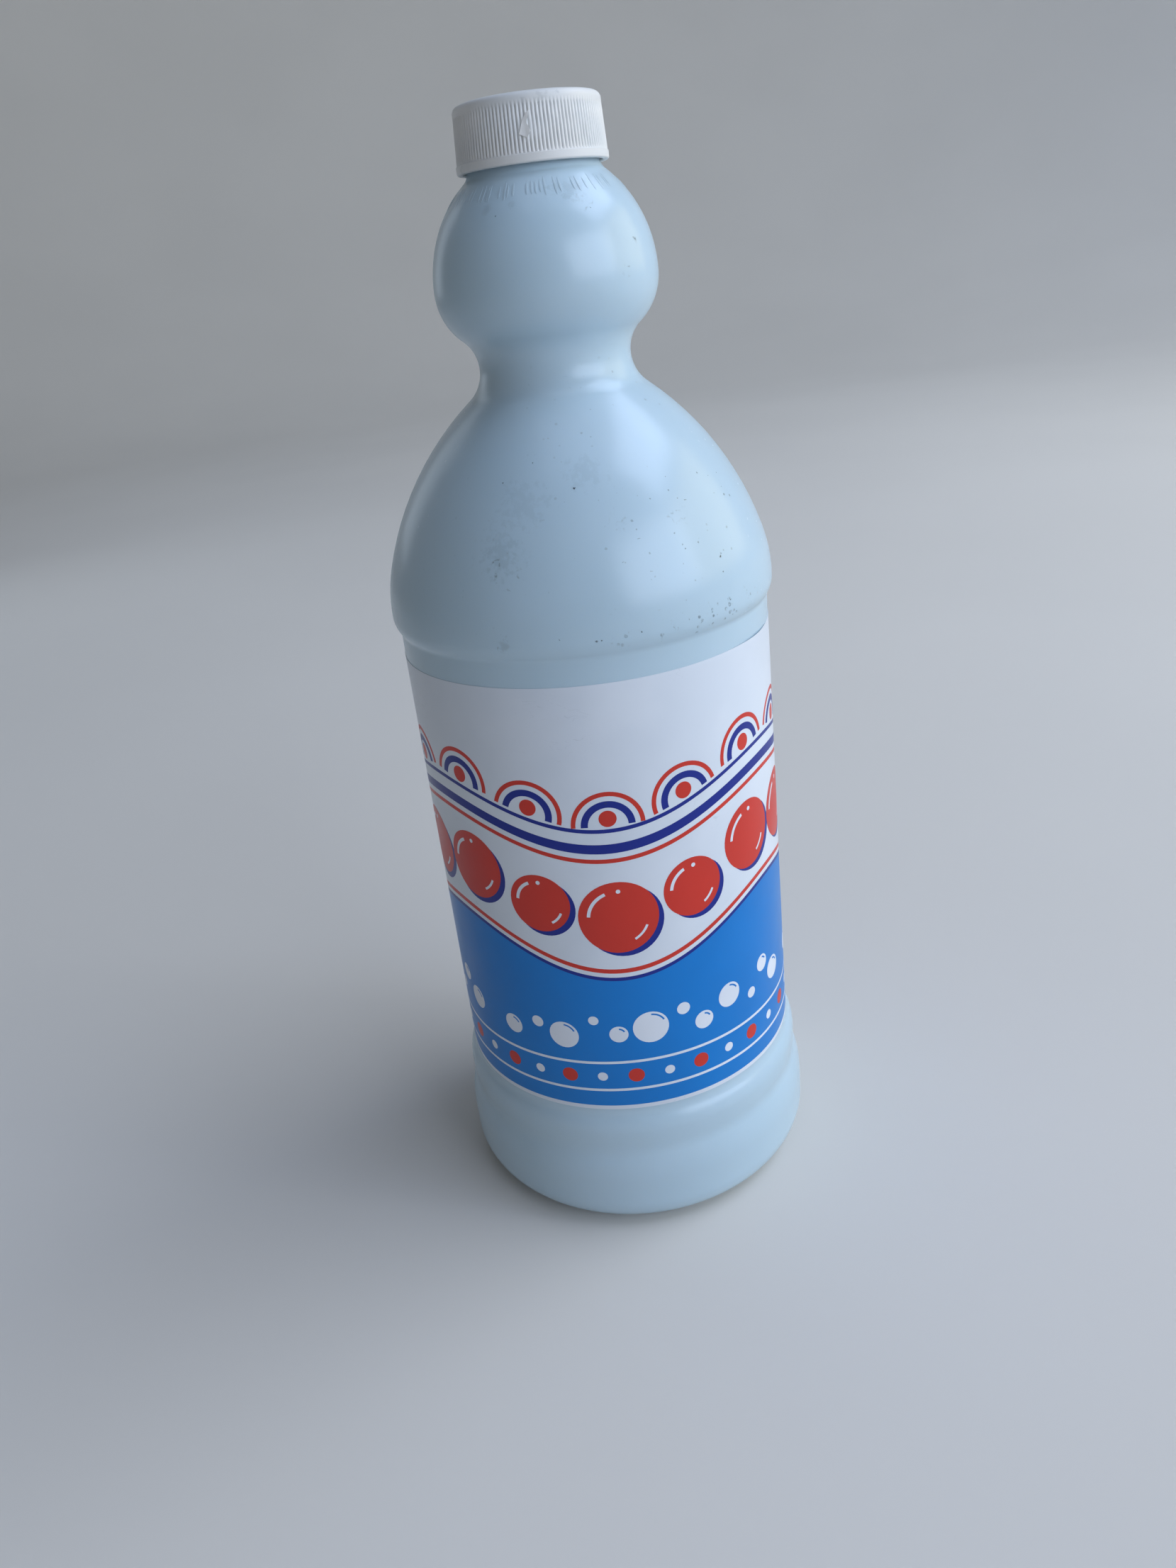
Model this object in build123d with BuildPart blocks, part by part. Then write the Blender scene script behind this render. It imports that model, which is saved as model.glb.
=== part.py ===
from build123d import *
import os
from math import cos, radians, sin, sqrt

# Bleach bottle: a blown bottle with a grip bulb in its neck, a screw cap with fine ribs, the
# liner in the cap and a wrap-round label. Millimetres, +Z up, the bottle's axis is Z, and it
# stands on Z = 0. The front faces -Y and the label's lap is at the back.

# Bottle: wall and base
wall = 0.9
base_rounding = 8.0
standing_ring_width = 2.4
push_up = 5.0
weld_length = 58.0
weld_width = 0.9
weld_depth = 0.35

# Bottle: radii, and how far each ring stands out of its neighbour
panel_radius = 41.5
bead_proud = 1.75
crease_depth = 0.3
foot_proud = 1.35
shoulder_proud = 1.3
waist_radius = 15.9
bulb_radius = 22.9
neck_radius = 13.05

# Bottle: heights, each one measured from the ring below it
foot_height = 14.6
crease_above_foot = 8.9
bead_above_crease = 5.0
panel_above_bead = 5.8
panel_height = 111.6
shoulder_above_panel = 4.1
waist_above_shoulder = 48.7
bulb_above_waist = 14.8
neck_above_bulb = 21.3
finish_height = 8.7

# Bottle: roundings on the hollow side of each curve, and the dome's lower arc
crease_rounding = 6.0
crease_top_rounding = 12.0
panel_foot_rounding = 4.0
panel_top_rounding = 2.0
dome_rounding = 33.7
dome_turn = 17.4
waist_lower_rounding = 8.1
waist_upper_rounding = 7.2
neck_rounding = 3.0
bore_rounding = 5.0

# Neck finish and screw thread
neck_wall = 1.65
land_step = 0.5
land_height = 0.6
lip_edge = 0.35
thread_pitch = 4.233
thread_depth = 1.0
thread_crest = 1.0
thread_slope = 0.65
thread_to_lip = 1.15
thread_sunk = 0.25

# Cap and liner
thread_play = 0.2
thread_side_play = 0.15
cap_thread_crest = 0.9
cap_thread_to_land = 0.15
rim_below_neck = 0.7
skirt_wall = 1.15
skirt_taper = 0.45
collar_height = 1.6
collar_proud = 0.15
collar_edge = 0.35
cap_top_wall = 1.3
cap_top_rounding = 1.3
top_band_height = 1.9
rib_count = 124
rib_depth = 0.26
rib_gap = 0.5
liner_thickness = 0.9
liner_gap = 0.25

# Label
label_thickness = 0.1
label_foot_margin = 0.6
label_top_margin = 4.9
label_lap = 9.0

# Worked out: the bottle's base, its rings and their heights
bead_radius = panel_radius + bead_proud
crease_radius = bead_radius - crease_depth
foot_radius = bead_radius + foot_proud
shoulder_radius = panel_radius + shoulder_proud
ring_out_radius = foot_radius - base_rounding
ring_in_radius = ring_out_radius - standing_ring_width
base_sphere = (ring_in_radius**2 + push_up**2) / (2 * push_up)
weld_end_drop = base_sphere - sqrt(base_sphere**2 - (weld_length / 2) ** 2)
crease_z = foot_height + crease_above_foot
bead_z = crease_z + bead_above_crease
panel_z = bead_z + panel_above_bead
panel_top_z = panel_z + panel_height
shoulder_z = panel_top_z + shoulder_above_panel
waist_z = shoulder_z + waist_above_shoulder
bulb_z = waist_z + bulb_above_waist
neck_z = bulb_z + neck_above_bulb
lip_z = neck_z + finish_height

# Worked out: the neck finish and its thread
land_z = neck_z + land_height
finish_radius = neck_radius - land_step
bore_radius = finish_radius - neck_wall
thread_radius = finish_radius + thread_depth
thread_foot = thread_crest + 2 * thread_slope * thread_depth
thread_z = land_z + thread_foot / 2
thread_rise = lip_z - thread_to_lip - thread_foot / 2 - thread_z

# Worked out: the cap, whose thread bears on the underside of the bottle's thread
ceiling_z = lip_z + liner_thickness
cap_top_z = ceiling_z + cap_top_wall
rim_z = neck_z - rim_below_neck
cap_bore_radius = thread_radius + thread_side_play
cap_crest_radius = finish_radius + thread_side_play
cap_radius = cap_bore_radius + skirt_wall
band_radius = cap_radius - skirt_taper
collar_radius = cap_radius + collar_proud
collar_z = rim_z + collar_height
band_z = cap_top_z - top_band_height
bottle_half = thread_crest / 2 + thread_slope * (thread_depth - thread_side_play)
cap_thread_drop = bottle_half + cap_thread_crest / 2 + thread_play
cap_thread_at_neck = cap_thread_crest / 2 + thread_slope * (neck_radius - cap_crest_radius)
cap_thread_z = land_z + cap_thread_to_land + cap_thread_at_neck
cap_thread_turn = 360 * (cap_thread_z - thread_z + cap_thread_drop) / thread_pitch
cap_thread_rise = thread_z + thread_rise - cap_thread_z

# Worked out: the label
label_z = panel_z + label_foot_margin
label_height = panel_height - label_foot_margin - label_top_margin


def s_curve(foot, top, hollow_radius, hollow_at_foot):
    """Two arcs between two rings, upright at both. The hollow arc has the given radius, and
    the round arc takes the rest."""
    step = abs(top[0] - foot[0])
    both_radii = (step**2 + (top[1] - foot[1]) ** 2) / (2 * step)
    hollow_share = hollow_radius / both_radii
    share = hollow_share if hollow_at_foot else 1 - hollow_share
    meet = (foot[0] + share * (top[0] - foot[0]), foot[1] + share * (top[1] - foot[1]))
    TangentArc(foot, meet, tangent=(0, 1))
    TangentArc(top, meet, tangent=(0, -1))


def dome(foot, top, round_radius, hollow_radius):
    """The dome from the shoulder to the waist: a round arc through the dome's turn, a wider
    round arc, and the waist's hollow arc. The wider arc has the radius that joins the two."""
    turn = Vector(cos(radians(dome_turn)), sin(radians(dome_turn)))
    low_centre = Vector(foot[0] - round_radius, foot[1])
    waist_centre = Vector(top[0] + hollow_radius, top[1])
    across = waist_centre - low_centre
    both_radii = round_radius + hollow_radius
    wider = (across.dot(across) - both_radii**2) / (2 * (both_radii - across.dot(turn)))
    high_centre = low_centre - turn * wider
    low_end = low_centre + turn * round_radius
    high_end = waist_centre + (high_centre - waist_centre).normalized() * hollow_radius
    TangentArc(foot, low_end, tangent=(0, 1))
    TangentArc(low_end, high_end, tangent=(-turn.Y, turn.X))
    TangentArc(top, high_end, tangent=(0, -1))


def base_outline(inset):
    """From the axis outwards: the push-up, the standing ring and the rounded edge."""
    TangentArc((0, push_up + inset), (ring_in_radius, inset), tangent=(1, 0))
    Line((ring_in_radius, inset), (ring_out_radius, inset))
    TangentArc((ring_out_radius, inset), (foot_radius - inset, base_rounding), tangent=(1, 0))
    Line((foot_radius - inset, base_rounding), (foot_radius - inset, foot_height))


def side_outline(inset, neck_side, neck_hollow):
    """From the foot band up to the neck. The neck has a radius and a rounding of its own,
    because the wall thickens there."""
    foot = (foot_radius - inset, foot_height)
    crease = (crease_radius - inset, crease_z)
    bead = (bead_radius - inset, bead_z)
    panel = (panel_radius - inset, panel_z)
    panel_top = (panel_radius - inset, panel_top_z)
    shoulder = (shoulder_radius - inset, shoulder_z)
    waist = (waist_radius - inset, waist_z)
    bulb = (bulb_radius - inset, bulb_z)
    s_curve(foot, crease, crease_rounding + inset, False)
    s_curve(crease, bead, crease_top_rounding + inset, True)
    s_curve(bead, panel, panel_foot_rounding + inset, False)
    Line(panel, panel_top)
    s_curve(panel_top, shoulder, panel_top_rounding + inset, True)
    dome(shoulder, waist, dome_rounding - inset, waist_lower_rounding + inset)
    s_curve(waist, bulb, waist_upper_rounding + inset, True)
    s_curve(bulb, (neck_side, neck_z), neck_hollow, False)


def thread_ridge(root, crest, crest_width, foot_z, rise):
    """A thread's ridge, swept up its helix. Its root is sunk a little into the wall."""
    sunk = root + (thread_sunk if root > crest else -thread_sunk)
    root_width = crest_width + 2 * thread_slope * abs(sunk - crest)
    with BuildPart() as made:
        with BuildLine(Plane.XY.offset(foot_z)) as line:
            Helix(thread_pitch, rise, root)
        with BuildSketch(Plane.XZ):
            with Locations((0, foot_z)):
                Polygon(
                    (sunk, -root_width / 2),
                    (crest, -crest_width / 2),
                    (crest, crest_width / 2),
                    (sunk, root_width / 2),
                    align=None,
                )
        sweep(path=line.wires()[0], is_frenet=True)
    return made.part


# Bottle
bottle_thread = thread_ridge(finish_radius, thread_radius, thread_crest, thread_z, thread_rise)
with BuildPart() as bottle:
    with BuildSketch(Plane.XZ):
        with BuildLine():
            base_outline(0)
            side_outline(0, neck_radius, neck_rounding)
            Polyline(
                (neck_radius, neck_z),
                (neck_radius, land_z),
                (finish_radius, land_z),
                (finish_radius, lip_z - lip_edge),
                (finish_radius - lip_edge, lip_z),
                (0, lip_z),
                (0, push_up),
            )
        make_face()
    revolve(axis=Axis.Z)
    add(bottle_thread)
    with BuildSketch(Plane.XZ):
        with BuildLine():
            weld_end_z = push_up + weld_depth - weld_end_drop
            weld_ends = ((-weld_length / 2, weld_end_z), (weld_length / 2, weld_end_z))
            ThreePointArc(weld_ends[0], (0, push_up - weld_depth), weld_ends[1])
            ThreePointArc(weld_ends[0], (0, push_up + weld_depth), weld_ends[1])
        make_face()
    extrude(amount=weld_width / 2, both=True)
    with BuildSketch(Plane.XZ):
        with BuildLine():
            base_outline(wall)
            side_outline(wall, bore_radius, bore_rounding)
            Polyline(
                (bore_radius, neck_z),
                (bore_radius, lip_z),
                (0, lip_z),
                (0, push_up + wall),
            )
        make_face()
    revolve(axis=Axis.Z, mode=Mode.SUBTRACT)
bottle.part.label = "bottle"

# Cap: a skirt with a collar and a smooth top band, fine ribs between them, a thread inside
cap_thread = thread_ridge(
    cap_bore_radius, cap_crest_radius, cap_thread_crest, cap_thread_z, cap_thread_rise
)
skirt_line = Vector(band_radius - cap_radius, 0, band_z - collar_z)
with BuildPart() as rib_gap_cut:
    with BuildSketch(Plane(origin=(cap_radius, 0, collar_z), x_dir=(0, 1, 0), z_dir=skirt_line)):
        Polygon((-rib_gap, -rib_depth), (rib_gap, -rib_depth), (0, rib_depth), align=None)
    extrude(amount=skirt_line.length)
with BuildPart() as cap:
    with BuildSketch(Plane.XZ):
        with BuildLine():
            Line((0, cap_top_z), (band_radius - cap_top_rounding, cap_top_z))
            TangentArc(
                (band_radius - cap_top_rounding, cap_top_z),
                (band_radius, cap_top_z - cap_top_rounding),
                tangent=(1, 0),
            )
            Polyline(
                (band_radius, cap_top_z - cap_top_rounding),
                (band_radius, band_z),
                (cap_radius, collar_z),
                (collar_radius, collar_z - collar_proud),
                (collar_radius, rim_z + collar_edge),
                (collar_radius - collar_edge, rim_z),
                (cap_bore_radius, rim_z),
                (cap_bore_radius, ceiling_z),
                (0, ceiling_z),
                (0, cap_top_z),
            )
        make_face()
    revolve(axis=Axis.Z)
    with PolarLocations(0, rib_count):
        add(rib_gap_cut.part, mode=Mode.SUBTRACT)
    add(cap_thread, rotation=(0, 0, cap_thread_turn))
cap.part.label = "cap"

# Cap liner: a plain disc that seals on the bottle's lip
with BuildPart() as cap_liner:
    with BuildSketch(Plane.XY.offset(lip_z)):
        Circle(cap_bore_radius - liner_gap)
    extrude(amount=liner_thickness)
cap_liner.part.label = "cap_liner"

# Label: a film round the panel, lapped at the back
with BuildPart() as label:
    with BuildSketch(Plane.XY.offset(label_z)):
        Circle(panel_radius + label_thickness)
        Circle(panel_radius, mode=Mode.SUBTRACT)
    extrude(amount=label_height)
    with BuildSketch(Plane.XY.offset(label_z)):
        Circle(panel_radius + 2 * label_thickness)
        with Locations((0, panel_radius)):
            Rectangle(label_lap, label_lap, mode=Mode.INTERSECT)
        Circle(panel_radius + label_thickness, mode=Mode.SUBTRACT)
    extrude(amount=label_height)
label.part.label = "label"

os.makedirs("parts", exist_ok=True)
for piece in (bottle, cap, cap_liner, label):
    export_step(piece.part, f"parts/{piece.part.label}.step")
    print(piece.part.label, len(piece.part.solids()), piece.part.volume, piece.part.is_valid)
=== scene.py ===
from math import atan2, ceil, copysign, cos, pi, radians, sin, sqrt, tau

import bmesh
import bpy
from bpy.props import (
    FloatProperty,
    FloatVectorProperty,
    IntProperty,
    PointerProperty,
)
from mathutils import Matrix, Vector, noise


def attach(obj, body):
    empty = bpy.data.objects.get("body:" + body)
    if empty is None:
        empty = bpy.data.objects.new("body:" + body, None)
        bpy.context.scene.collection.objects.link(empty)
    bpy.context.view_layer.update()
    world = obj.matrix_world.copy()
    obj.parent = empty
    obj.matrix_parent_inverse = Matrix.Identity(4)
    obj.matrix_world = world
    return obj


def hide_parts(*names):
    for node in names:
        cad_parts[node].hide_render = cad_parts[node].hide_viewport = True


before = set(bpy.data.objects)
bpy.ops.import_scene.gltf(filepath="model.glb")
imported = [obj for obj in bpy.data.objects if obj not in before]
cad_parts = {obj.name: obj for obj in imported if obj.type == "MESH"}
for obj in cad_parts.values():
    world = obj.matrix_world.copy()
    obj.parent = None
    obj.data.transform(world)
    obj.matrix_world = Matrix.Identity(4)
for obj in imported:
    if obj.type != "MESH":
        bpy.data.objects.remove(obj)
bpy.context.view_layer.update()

bl_info = {
    "name": "Bleach Bottle",
    "version": (1, 0, 0),
    "blender": (4, 5, 0),
    "location": "View3D > Sidebar > Bottle",
    "description": "Builds a blown bleach bottle with its screw cap and printed label",
    "category": "Add Mesh",
}

MM = 0.001
BOTTLE_STEPS = 192
LABEL_STEPS = 232
LAP_STEPS = 4
RIB_STEPS = 8
OUTER_ARC_STEP = radians(3)
INNER_ARC_STEP = radians(8)
SHARP_ANGLE = radians(32)


# Properties


def length(name, about, millimetres):
    """A size in metres whose default is given in millimetres."""
    return FloatProperty(
        name=name, description=about, default=millimetres * MM, unit="LENGTH", precision=5
    )


def turn(name, about, degrees):
    """An angle whose default is given in degrees."""
    return FloatProperty(
        name=name, description=about, default=radians(degrees), unit="ROTATION", precision=3
    )


def tint(name, about, red, green, blue):
    """A colour in linear light."""
    return FloatVectorProperty(
        name=name,
        description=about,
        default=(red, green, blue, 1),
        size=4,
        subtype="COLOR",
        min=0,
        max=1,
    )


def amount(name, about, value):
    """A plain number from 0 up."""
    return FloatProperty(name=name, description=about, default=value, min=0)


def watts(name, about, power):
    """The power of a light."""
    return FloatProperty(name=name, description=about, default=power, unit="POWER", min=0)


class BottleSizes(bpy.types.PropertyGroup):
    """Sizes of the blown bottle and its neck"""

    wall: length("Wall", "Thickness of the blown wall", 0.9)
    base_rounding: length("Base rounding", "Rounding between the base and the foot band", 8)
    standing_ring: length("Standing ring", "Width of the ring that the bottle stands on", 2.4)
    push_up: length("Push-up", "How far the base is domed inwards", 5)
    weld: length("Weld", "Length of the pinch weld across the base", 58)
    panel_radius: length("Panel radius", "Radius of the wall behind the label", 41.5)
    bead_proud: length("Bead", "How far the bead under the label stands out", 1.75)
    crease_depth: length("Crease", "Depth of the crease under the bead", 0.3)
    foot_proud: length("Foot band", "How far the foot band stands out of the bead", 1.35)
    shoulder_proud: length("Shoulder", "How far the shoulder stands out of the panel", 1.3)
    waist_radius: length("Waist radius", "Radius of the waist under the bulb", 15.9)
    bulb_radius: length("Bulb radius", "Radius of the grip bulb", 22.9)
    neck_radius: length("Neck radius", "Radius of the neck under the cap", 13.05)
    foot_z: length("Foot height", "Top of the foot band", 14.6)
    crease_z: length("Crease height", "Height of the crease", 23.5)
    bead_z: length("Bead height", "Height of the bead", 28.5)
    panel_z: length("Panel foot", "Foot of the label panel", 34.3)
    panel_top_z: length("Panel top", "Top of the label panel", 145.9)
    shoulder_z: length("Shoulder height", "Height of the shoulder's widest ring", 150)
    waist_z: length("Waist height", "Height of the waist", 198.7)
    bulb_z: length("Bulb height", "Height of the bulb's widest ring", 213.5)
    neck_z: length("Neck height", "Foot of the neck finish", 234.8)
    lip_z: length("Lip height", "Height of the pouring lip", 243.5)
    neck_wall: length("Neck wall", "Thickness of the neck finish", 1.65)
    land_step: length("Land step", "How far the finish steps in above the neck", 0.5)
    land_height: length("Land height", "Height of the land under the thread", 0.6)
    unevenness: length("Unevenness", "How far the blown surface wanders", 0.07)


class ThreadSizes(bpy.types.PropertyGroup):
    """Sizes of the screw thread on the neck and in the cap"""

    pitch: length("Pitch", "Rise of the thread in one turn", 4.233)
    depth: length("Depth", "How far the neck's thread stands out", 1)
    crest: length("Crest", "Width of the neck thread's crest", 1)
    slope: amount("Slope", "Widening of the thread for its depth, on each side", 0.65)
    foot_z: length("Foot", "Middle height of the neck thread's lower end", 236.55)
    rise: length("Rise", "How far the neck's thread climbs", 4.65)
    cap_crest: length("Cap crest", "Width of the cap thread's crest", 0.9)
    cap_foot_z: length("Cap foot", "Middle height of the cap thread's lower end", 236.2275)
    cap_rise: length("Cap rise", "How far the cap's thread climbs", 4.9725)
    cap_turn: turn("Cap turn", "Where the cap's thread starts", 117.4)
    fade: turn("Fade", "Turn over which each thread end fades out", 24)


class CapSizes(bpy.types.PropertyGroup):
    """Sizes of the screw cap"""

    rim_z: length("Rim", "Height of the cap's rim", 234.1)
    top_z: length("Top", "Height of the cap's top", 245.7)
    ceiling_z: length("Ceiling", "Height of the cap's inside", 244.4)
    bore: length("Bore", "Inner radius of the skirt", 13.7)
    radius: length("Radius", "Radius over the ribs at the collar", 14.85)
    band_radius: length("Band radius", "Radius of the smooth top band", 14.4)
    collar_proud: length("Collar", "How far the collar stands out", 0.15)
    collar_height: length("Collar height", "Height of the smooth collar", 1.6)
    band_height: length("Band height", "Height of the smooth top band", 1.9)
    top_rounding: length("Top rounding", "Rounding of the top edge", 1.3)
    ribs: IntProperty(name="Ribs", description="Number of fine ribs", default=124, min=3)
    rib_depth: length("Rib depth", "Depth of the gaps between the ribs", 0.26)


class LabelSizes(bpy.types.PropertyGroup):
    """Sizes of the wrap-round film and its print"""

    foot_z: length("Foot", "Lower edge of the film", 34.9)
    top_z: length("Top", "Upper edge of the film", 141)
    thickness: length("Thickness", "Thickness of the film", 0.1)
    ink: length("Ink", "Thickness of one layer of ink", 0.015)
    field_z: length("Field height", "Mean height of the blue field's upper edge", 77)
    wave: length("Wave", "How far the field's edge rises and falls", 6)
    border: length("Border", "White border under the blue field", 1.1)
    ball: length("Ball", "Radius of the middle red disc", 8.9)
    arch: length("Arch", "Radius of the arches on the upper white", 7.4)


class Finishes(bpy.types.PropertyGroup):
    """Colours of the pieces"""

    bottle: tint("Bottle", "Pale blue blown plastic", 0.50, 0.63, 0.72)
    cap: tint("Cap", "White moulded plastic", 0.73, 0.72, 0.70)
    liner: tint("Liner", "Foamed liner", 0.72, 0.72, 0.69)
    film: tint("Film", "White label film", 0.72, 0.76, 0.82)
    field: tint("Blue ink", "Ink of the lower field", 0.0, 0.19, 0.58)
    red: tint("Red ink", "Ink of the discs and arches", 0.62, 0.035, 0.02)
    navy: tint("Navy ink", "Ink of the dark lines", 0.006, 0.02, 0.24)
    white: tint("White ink", "Ink of the bubbles", 0.76, 0.79, 0.85)
    # The grime colour also paints the shade in the gaps between the cap's ribs.
    grime_and_gap_shade: tint("Grime", "Dust and marks", 0.04, 0.06, 0.066)
    floor: tint("Floor", "Studio floor", 0.71, 0.68, 0.64)


class StudioSettings(bpy.types.PropertyGroup):
    """Camera and lights"""

    back: length("Camera distance", "How far the camera stands in front of the axis", 252.7)
    height: length("Camera height", "Height of the camera", 216.4)
    pitch: FloatProperty(
        name="Pitch", description="How far the camera looks down", default=0.429, unit="ROTATION"
    )
    yaw: FloatProperty(
        name="Yaw", description="How far the camera looks aside", default=-0.015, unit="ROTATION"
    )
    roll: FloatProperty(
        name="Roll", description="How far the camera is tilted", default=-0.12, unit="ROTATION"
    )
    lens: FloatProperty(
        name="Lens",
        description="Focal length for a 36 mm long side",
        default=36 * 1600 / 2212,
        unit="CAMERA",
    )
    window: watts("Window", "Power of the window light, in front on the right", 20)
    side: watts("Side window", "Power of the warmer light on the right", 8)
    ceiling: watts("Ceiling", "Power of the light overhead on the right", 27)
    overhead: watts("Overhead", "Power of the light straight above", 5.5)
    rim: watts("Rim", "Power of the light behind on the left", 0.4)
    backdrop: watts("Backdrop", "Power of the light on the floor far behind", 6)
    sky: amount("Sky", "Strength of the light from all round", 0.015)


# Meshes


class Pen:
    """Draws an outline in the XZ plane with bmesh's own operators, X being the radius."""

    def __init__(self, bm, radius, height, arc_step):
        self.bm = bm
        self.arc_step = arc_step
        self.tip = bmesh.ops.create_vert(bm, co=(radius, 0, height))["vert"][0]

    def line(self, radius, height, parts=1):
        start, end = self.tip.co.copy(), Vector((radius, 0, height))
        for part in range(parts):
            drawn = bmesh.ops.extrude_vert_indiv(self.bm, verts=[self.tip])
            self.tip = drawn["verts"][0]
            self.tip.co = start.lerp(end, (part + 1) / parts)

    def arc(self, centre, angle):
        """Anticlockwise where the angle is positive, seen with Z up and the radius to the right."""
        steps = max(2, ceil(abs(angle) / self.arc_step))
        drawn = bmesh.ops.spin(
            self.bm,
            geom=[self.tip],
            cent=(centre[0], 0, centre[1]),
            axis=(0, -1, 0),
            angle=angle,
            steps=steps,
        )
        self.tip = drawn["geom_last"][0]

    def s_curve(self, top, hollow_radius, hollow_at_foot):
        """Two arcs to a ring above, upright at both ends, the hollow one of a given radius."""
        foot = (self.tip.co.x, self.tip.co.z)
        step, rise = top[0] - foot[0], top[1] - foot[1]
        both_radii = (step**2 + rise**2) / (2 * abs(step))
        first = hollow_radius if hollow_at_foot else both_radii - hollow_radius
        side = copysign(1, step)
        angle = side * atan2(rise, both_radii - abs(step))
        self.arc((foot[0] + side * first, foot[1]), -angle)
        self.arc((top[0] - side * (both_radii - first), top[1]), angle)

    def dome(self, top, round_radius, round_turn, hollow_radius):
        """A round arc, a wider round arc that joins, and the waist's hollow arc."""
        low = Vector((self.tip.co.x - round_radius, self.tip.co.z))
        waist = Vector((top[0] + hollow_radius, top[1]))
        across = waist - low
        both_radii = round_radius + hollow_radius
        aim = Vector((cos(round_turn), sin(round_turn)))
        wider = (across.dot(across) - both_radii**2) / (2 * (both_radii - across.dot(aim)))
        high = low - aim * wider
        end_turn = atan2(waist.y - high.y, waist.x - high.x)
        self.arc(low, round_turn)
        self.arc(high, end_turn - round_turn)
        self.arc(waist, -end_turn)


def revolve(bm, steps):
    """Spins the outline a sixteenth round Z, doubles that up to a full turn, closes it and
    points its faces outwards. One spin of the full turn takes minutes on a fine shape."""
    sector = tau / 16
    bmesh.ops.spin(
        bm,
        geom=bm.verts[:] + bm.edges[:],
        cent=(0, 0, 0),
        axis=(0, 0, 1),
        angle=sector,
        steps=steps // 16,
    )
    for doubling in range(4):
        again = bmesh.ops.duplicate(bm, geom=bm.verts[:] + bm.edges[:] + bm.faces[:])
        bmesh.ops.rotate(
            bm,
            verts=[item for item in again["geom"] if isinstance(item, bmesh.types.BMVert)],
            cent=(0, 0, 0),
            matrix=Matrix.Rotation(sector * 2**doubling, 3, "Z"),
        )
    bmesh.ops.remove_doubles(bm, verts=bm.verts, dist=0.002 * MM)
    bmesh.ops.recalc_face_normals(bm, faces=bm.faces)


def smooth_step(low, high, value):
    share = min(max((value - low) / (high - low), 0), 1)
    return share * share * (3 - 2 * share)


def move_out(vert, distance):
    """Moves a vertex away from the Z axis."""
    radius = vert.co.xy.length
    if radius > 0:
        vert.co.xy *= (radius + distance) / radius


def on_wall(angle, radius, height):
    """A point on a wall round Z, the angle running from the front to the right."""
    return Vector((radius * sin(angle), -radius * cos(angle), height))


def join(bm, part):
    """Adds a part's mesh to a larger one. Small shapes are made apart, because each operator
    looks through the whole mesh that it works in."""
    mesh = bpy.data.meshes.new("part")
    part.to_mesh(mesh)
    part.free()
    bm.from_mesh(mesh)
    bpy.data.meshes.remove(mesh)


def thread(whole, root, crest, crest_width, slope, foot_z, pitch, rise, start, fade):
    """A screw thread's ridge: its section goes up the helix, and fades into the wall at both
    ends. The root is sunk a little into the wall."""
    side = copysign(1, crest - root)
    sunk = root - side * 0.25 * MM
    edge = 0.18 * MM
    half = crest_width / 2
    root_half = half + slope * abs(sunk - crest)
    shoulder = crest - side * edge
    section = (
        (sunk, -root_half),
        (shoulder, -half - slope * edge),
        (crest - side * edge / 4, -half - edge / 8),
        (crest, -half + edge * 0.7),
        (crest, half - edge * 0.7),
        (crest - side * edge / 4, half + edge / 8),
        (shoulder, half + slope * edge),
        (sunk, root_half),
    )
    bm = bmesh.new()
    verts = [bm.verts.new((radius, 0, foot_z + height)) for radius, height in section]
    edges = [bm.edges.new((verts[i - 1], verts[i])) for i in range(len(verts))]
    turns = rise / pitch
    steps = ceil(turns * 96)
    bmesh.ops.spin(
        bm,
        geom=verts + edges,
        cent=(0, 0, 0),
        axis=(0, 0, 1),
        angle=turns * tau,
        steps=steps,
        dvec=(0, 0, rise / steps),
    )
    bmesh.ops.holes_fill(bm, edges=bm.edges, sides=len(section))
    for vert in bm.verts:
        angle = atan2(vert.co.y, vert.co.x) / tau
        turn_here = angle + round((vert.co.z - foot_z) / pitch - angle)
        from_end = min(turn_here, turns - turn_here) * tau
        share = smooth_step(-0.02, fade, from_end)
        radius = vert.co.xy.length
        move_out(vert, (sunk - radius) * (1 - share) * 0.98)
    bmesh.ops.rotate(bm, verts=bm.verts, cent=(0, 0, 0), matrix=Matrix.Rotation(start, 3, "Z"))
    bmesh.ops.recalc_face_normals(bm, faces=bm.faces)
    join(whole, bm)


def settle(bm, name, materials, body, replaced=None):
    """Makes the finished mesh a piece that rides on a body."""
    for edge in bm.edges:
        edge.smooth = not (edge.is_manifold and edge.calc_face_angle(0) > SHARP_ANGLE)
    for face in bm.faces:
        face.smooth = True
    mesh = bpy.data.meshes.new(name)
    bm.to_mesh(mesh)
    bm.free()
    for material in materials:
        mesh.materials.append(material)
    piece = bpy.data.objects.new(name, mesh)
    bpy.context.scene.collection.objects.link(piece)
    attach(piece, body)
    if replaced:
        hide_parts(replaced)
    return piece


# Bottle


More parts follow.
